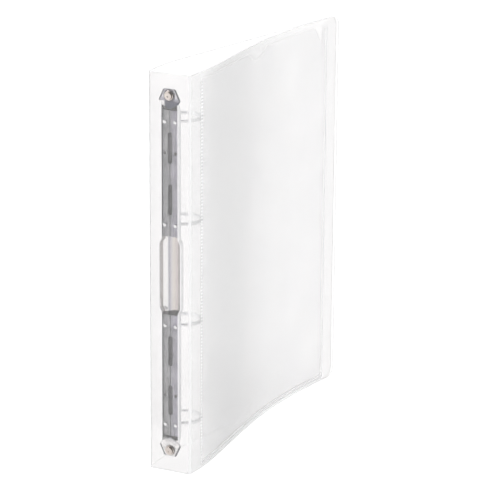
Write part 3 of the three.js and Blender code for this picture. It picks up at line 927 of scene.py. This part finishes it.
def arch():
    """The arched part of the plate, with an opening for the foot of each half ring."""
    bulge_low = MIDDLE_Z - BULGE_REACH
    lower = list(np.linspace(PLATE_LOW + ARCH_FROM, PLATE_LOW + RISE_TO, 10))
    lower += list(np.linspace(PLATE_LOW + RISE_TO, bulge_low - BULGE_TAPER, 24)[1:])
    lower += list(np.linspace(bulge_low - BULGE_TAPER, bulge_low, 8)[1:])
    lower += list(np.linspace(bulge_low, MIDDLE_Z, 8)[1:])
    heights = lower + [2 * MIDDLE_Z - z for z in reversed(lower[:-1])]
    grid, normals = [], []
    for z in heights:
        points, facing = arch_section(*arch_size(z))
        grid.append([(x, y, z) for x, y in points])
        normals.append([(x, y, 0.0) for x, y in facing])
    grid, normals = np.array(grid), np.array(normals)
    halves = np.full(grid.shape[:2], PLATE / 2)

    def choose(i, j, outer):
        return 0 if outer else 1

    piece = shell("plate_arch", grid, normals, halves, (CHROME, HOLLOW), choose)
    reach, low_y = WIRE_R + CLEARANCE, PLATE_BASE + ARCH_SKIRT * ARCH_HEIGHT
    cutters = []
    for z in RING_HEIGHTS:
        for side in SIDES.values():
            outline = arc(FOOT_X + FOOT_HOLE_TRAVEL, z, reach, -90, 90, 12)
            outline += arc(FOOT_X, z, reach, 90, 270, 12)
            outline = [(side * x, v) for x, v in outline]
            cutters.append(rod_cutter(outline, low_y, low_y + 3 * ARCH_HEIGHT))
    cut(piece, cutters)
    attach(piece, "spine")
    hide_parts("arch_plate")


def rounded(corners, radius, steps=5):
    """A polygon's outline with each corner rounded."""
    points = []
    count = len(corners)
    for i, corner in enumerate(corners):
        here = Vector(corner)
        before = Vector(corners[i - 1]) - here
        after = Vector(corners[(i + 1) % count]) - here
        reach = min(radius, before.length / 2.2, after.length / 2.2)
        start = here + before.normalized() * reach
        end = here + after.normalized() * reach
        for k in range(steps + 1):
            t = k / steps
            points.append(tuple(start * (1 - t) ** 2 + here * 2 * t * (1 - t) + end * t * t))
    return points


def plate_tab(name, end, material):
    """The six-sided flat end of the plate, with its rivet hole. end is 1 at the top."""
    edge = PLATE_HIGH if end > 0 else PLATE_LOW
    neck = ARCH_HALF - PLATE / 2
    corners = [(-TAB_TIP, 0), (TAB_TIP, 0), (TAB_SHOULDER, TAB_SHOULDER_AT), (neck, TAB_NECK_AT),
               (0, TAB_APEX_AT), (-neck, TAB_NECK_AT), (-TAB_SHOULDER, TAB_SHOULDER_AT)]
    outline = rounded([(x, edge - end * v) for x, v in corners], TAB_CORNER_R)
    hole = circle(0, edge - end * RIVET_FROM_END, RIVET_SHANK_R + CLEARANCE)
    piece = stamped(name, outline, [hole], PLATE, TAB_BEVEL, material)
    # The tab's sides are painted near-black shade.
    mark_sides(piece, SIDE_PAINTED_SHADE, 0.8)
    piece.data.transform(Matrix.Translation((0, (PLATE_BASE + PLATE / 2) * MM, 0)))
    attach(piece, "spine")


def blade(pair, side_name):
    """A stamped blade: half of each middle slot, tenon holes and a locating hole."""
    side, outward = SIDES[side_name], PAIRS[pair]
    pair_z = MIDDLE_Z + outward * PAIR_OFFSET
    low, high = pair_z - BLADE_HALF_LENGTH, pair_z + BLADE_HALF_LENGTH
    inner, outer = side * TIP_GAP, side * (HINGE_X + BLADE_THICK / 2 - 0.1)
    outline = [(outer, low), (outer, high), (inner, high)]
    for z in (pair_z + SLOT_OFFSET, pair_z - SLOT_OFFSET):
        top = z + SLOT_HALF_LENGTH
        radius = SLOT_HALF_WIDTH - TIP_GAP
        quarter = arc(0, top - radius, radius, 90, 0, 6)
        quarter = [(inner + side * x, v) for x, v in quarter]
        outline += quarter
        outline += [(x, 2 * z - v) for x, v in reversed(quarter)]
    outline.append((inner, low))
    if side > 0:
        outline.reverse()
    holes = [circle(side * FOOT_X, pair_z + offset, TENON_R + CLEARANCE)
             for offset in (-RING_PITCH / 2, RING_PITCH / 2)]
    holes.append(circle(side * DIMPLE_X, pair_z + outward * DIMPLE_OFFSET, DIMPLE_R))
    node = f"{pair}_{side_name}_blade"
    name = f"blade_{pair}_{side_name}"
    piece = stamped(name, outline, holes, BLADE_THICK, BLADE_BEVEL, ZINC)
    # The blade's sides are painted near-black shade.
    mark_sides(piece, SIDE_PAINTED_SHADE, 0.6)
    tilt = math.atan2(BLADE_DIP, HINGE_X)
    hinge = Vector((side * HINGE_X * MM, 0, 0))
    turn = Matrix.Rotation(side * tilt, 4, "Z")
    lift = Matrix.Translation((0, HINGE_Y * MM, 0))
    piece.data.transform(lift @ Matrix.Translation(hinge) @ turn @ Matrix.Translation(-hinge))
    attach(piece, node)
    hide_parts(node)


def ring_path(side, z):
    """The middle line of a half ring: up from the blade, out into the circle, over to the tip."""
    def on_circle(angle):
        x, y = -side * RING_R * math.cos(angle), RING_Y + RING_R * math.sin(angle)
        return np.array([x, y, z])

    foot_base = np.array([side * FOOT_X, FOOT_BASE, z])
    foot = np.array([side * FOOT_X, FOOT_TOP, z])
    join = on_circle(SWEEP_FROM)
    leaving = np.array([-side * math.sin(SWEEP_FROM), -math.cos(SWEEP_FROM), 0])
    first = foot + np.array([0, SWEEP_LEAD, 0])
    second = join - leaving * SWEEP_LEAD
    points = [foot_base + (foot - foot_base) * t for t in np.linspace(0, 1, 6)[:-1]]
    for t in np.linspace(0, 1, 14)[:-1]:
        near, far = (1 - t) ** 3, 3 * t * (1 - t) ** 2
        points.append(foot * near + first * far + second * 3 * t * t * (1 - t) + join * t ** 3)
    tip = math.pi / 2 + math.asin(TIP_GAP / RING_R)
    points += [on_circle(a) for a in np.linspace(SWEEP_FROM, tip, 72)]
    return points


def half_ring(number, side_name):
    """A half ring with a staked foot under the blade and a chamfered tip."""
    side = SIDES[side_name]
    z = RING_HEIGHTS[number - 1]
    path = ring_path(side, z)
    radii = np.full(len(path), WIRE_R)
    radii[0], radii[-1] = WIRE_R - FOOT_CHAMFER, WIRE_R - TIP_CHAMFER
    verts, faces = tube(path, radii, 28)
    foot_verts, foot_faces = lathe_y(STAKE, side * FOOT_X, z, 28)
    base = len(verts)
    verts = verts + foot_verts
    faces = faces + [tuple(base + k for k in face) for face in foot_faces]
    node = f"ring_{number}_{side_name}"
    piece = new_object(f"half_{node}", verts, faces, (WIRE,))
    sharpen(piece.data)
    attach(piece, f"{PAIR_OF_RING[number - 1]}_{side_name}_blade")
    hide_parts(node)


def rivet(name, z):
    """A tubular rivet: a low head on a thin flange outside, a rolled end inside."""
    head_y = -SHEET / 2 - CLEARANCE
    top_y = head_y - RIVET_HEAD_RISE
    roll_y = PLATE_BASE + PLATE + CLEARANCE
    profile = [(radius, top_y + depth) for radius, depth in DISC]
    for angle in np.radians(np.linspace(90, 0, 6)):
        profile.append((DISC_EDGE_AT + DISC_EDGE_R * math.cos(angle),
                        top_y + DISC_EDGE_DEPTH - DISC_EDGE_R * math.sin(angle)))
    profile += [(radius, head_y + height) for radius, height in FLANGE]
    profile.append((RIVET_SHANK_R, roll_y))
    for angle in np.radians(np.linspace(-60, 180, 11)):
        profile.append((ROLL_AT + ROLL_WIDTH * math.cos(angle),
                        roll_y + ROLL_HEIGHT + ROLL_HEIGHT * math.sin(angle)))
    profile += [(ROLL_BORE, roll_y - 0.4), (0, roll_y - 0.4)]
    verts, faces = lathe_y(profile, 0, z)
    piece = new_object(f"{name}_turned", verts, faces, (NICKEL,))
    sharpen(piece.data, SHARP_ANGLE_TURNED)
    # The sideways faces of head, flange and roll are painted near black: painted shade round the
    # head.
    mark_sides(piece, RIVET_HEAD_PAINTED_SHADE, 0.5)
    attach(piece, "spine")
    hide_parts(name)


def mechanism():
    arch()
    plate_tab("plate_tab_top", 1, TOP_TAB)
    plate_tab("plate_tab_bottom", -1, LOW_TAB)
    for side_name in SIDES:
        for pair in PAIRS:
            blade(pair, side_name)
        for number in range(1, len(RING_HEIGHTS) + 1):
            half_ring(number, side_name)
    for name, z in RIVET_HEIGHTS.items():
        rivet(name, z)


# ---- Studio ----

# Places here are in metres.
CAMERA_PLACE = (0.8503, -1.5811, 0.7147)
CAMERA_YAW = math.radians(26.45)
CAMERA_PITCH = math.radians(16.51)
CAMERA_ROLL = math.radians(0.375)
CAMERA_LENS, CAMERA_SENSOR = 182.3, 36

WORLD_DIM_TOWARD = (0.25, -0.9, 0.42)
WORLD_STOPS = ((0.72, WHITE), (0.9, (0.25, 0.25, 0.27)))


def camera():
    """The photograph's camera: where it stands and how it is turned, found from the outline."""
    sight = Vector((-math.sin(CAMERA_YAW) * math.cos(CAMERA_PITCH),
                    math.cos(CAMERA_YAW) * math.cos(CAMERA_PITCH), -math.sin(CAMERA_PITCH)))
    right = Vector((math.cos(CAMERA_YAW), math.sin(CAMERA_YAW), 0))
    up = right.cross(sight)
    cosine, sine = math.cos(CAMERA_ROLL), math.sin(CAMERA_ROLL)
    right, up = right * cosine + up * sine, up * cosine - right * sine
    data = bpy.data.cameras.new("camera")
    data.lens = CAMERA_LENS
    data.sensor_width = CAMERA_SENSOR
    data.clip_end = 20
    placed = add_object("camera", data)
    turned = Matrix((right, up, -sight)).transposed().to_4x4()
    placed.matrix_world = Matrix.Translation(CAMERA_PLACE) @ turned
    bpy.context.scene.camera = placed


def floor():
    """A wide pale floor just under the binder. It glows, so it fades into the background."""
    mesh = bpy.data.meshes.new("floor")
    reach, depth = 6.0, -0.0002
    corners = ((-reach, -reach), (reach, -reach), (reach, reach), (-reach, reach))
    mesh.from_pydata([(x, y, depth) for x, y in corners], [], [(0, 1, 2, 3)])
    material, _ = principled("floor", Roughness=0.9, Base_Color=(0.4, 0.4, 0.4, 1),
                             Emission_Color=(1, 1, 1, 1), Emission_Strength=0.8)
    mesh.materials.append(material)
    piece = add_object("floor", mesh)


def area_light(name, place, target, size, power):
    data = bpy.data.lights.new(name, "AREA")
    data.shape = "RECTANGLE"
    data.size, data.size_y = size
    data.energy = power
    lamp = add_object(name, data)
    lamp.location = place
    aim = Vector(target) - Vector(place)
    lamp.rotation_euler = aim.to_track_quat("-Z", "Y").to_euler()


def lighting():
    """A white room that is dimmer beside the camera, with a key light and a weak fill light."""
    world = bpy.data.worlds.new("studio")
    bpy.context.scene.world = world
    world.use_nodes = True
    nodes, links = world.node_tree.nodes, world.node_tree.links
    place = nodes.new("ShaderNodeTexCoord")
    toward = nodes.new("ShaderNodeVectorMath")
    toward.operation = "DOT_PRODUCT"
    toward.inputs[1].default_value = Vector(WORLD_DIM_TOWARD).normalized()
    links.new(place.outputs["Generated"], toward.inputs[0])
    ramp = nodes.new("ShaderNodeValToRGB")
    fill_ramp(ramp, WORLD_STOPS)
    links.new(toward.outputs["Value"], ramp.inputs["Fac"])
    links.new(ramp.outputs["Color"], nodes["Background"].inputs["Color"])
    nodes["Background"].inputs["Strength"].default_value = 1.0
    area_light("key", (-1.6, -1.4, 2.2), target=(0, 0.1, 0.15), size=(1.6, 1.2), power=24)
    area_light("fill", (2.4, 0.2, 1.5), target=(0, 0.15, 0.15), size=(1.8, 1.4), power=9)
    bpy.context.scene.view_settings.view_transform = "Standard"


# ---- Everything ----

right_edge = cover_sheet("front_sheet", 1, FRONT_PATH, "front_cover", FROSTED_FRONT)
left_edge = cover_sheet("back_sheet", -1, BACK_PATH, "back_cover", FROSTED_BACK)
spine_sheet(left_edge, right_edge)
pocket()
mechanism()
camera()
floor()
lighting()
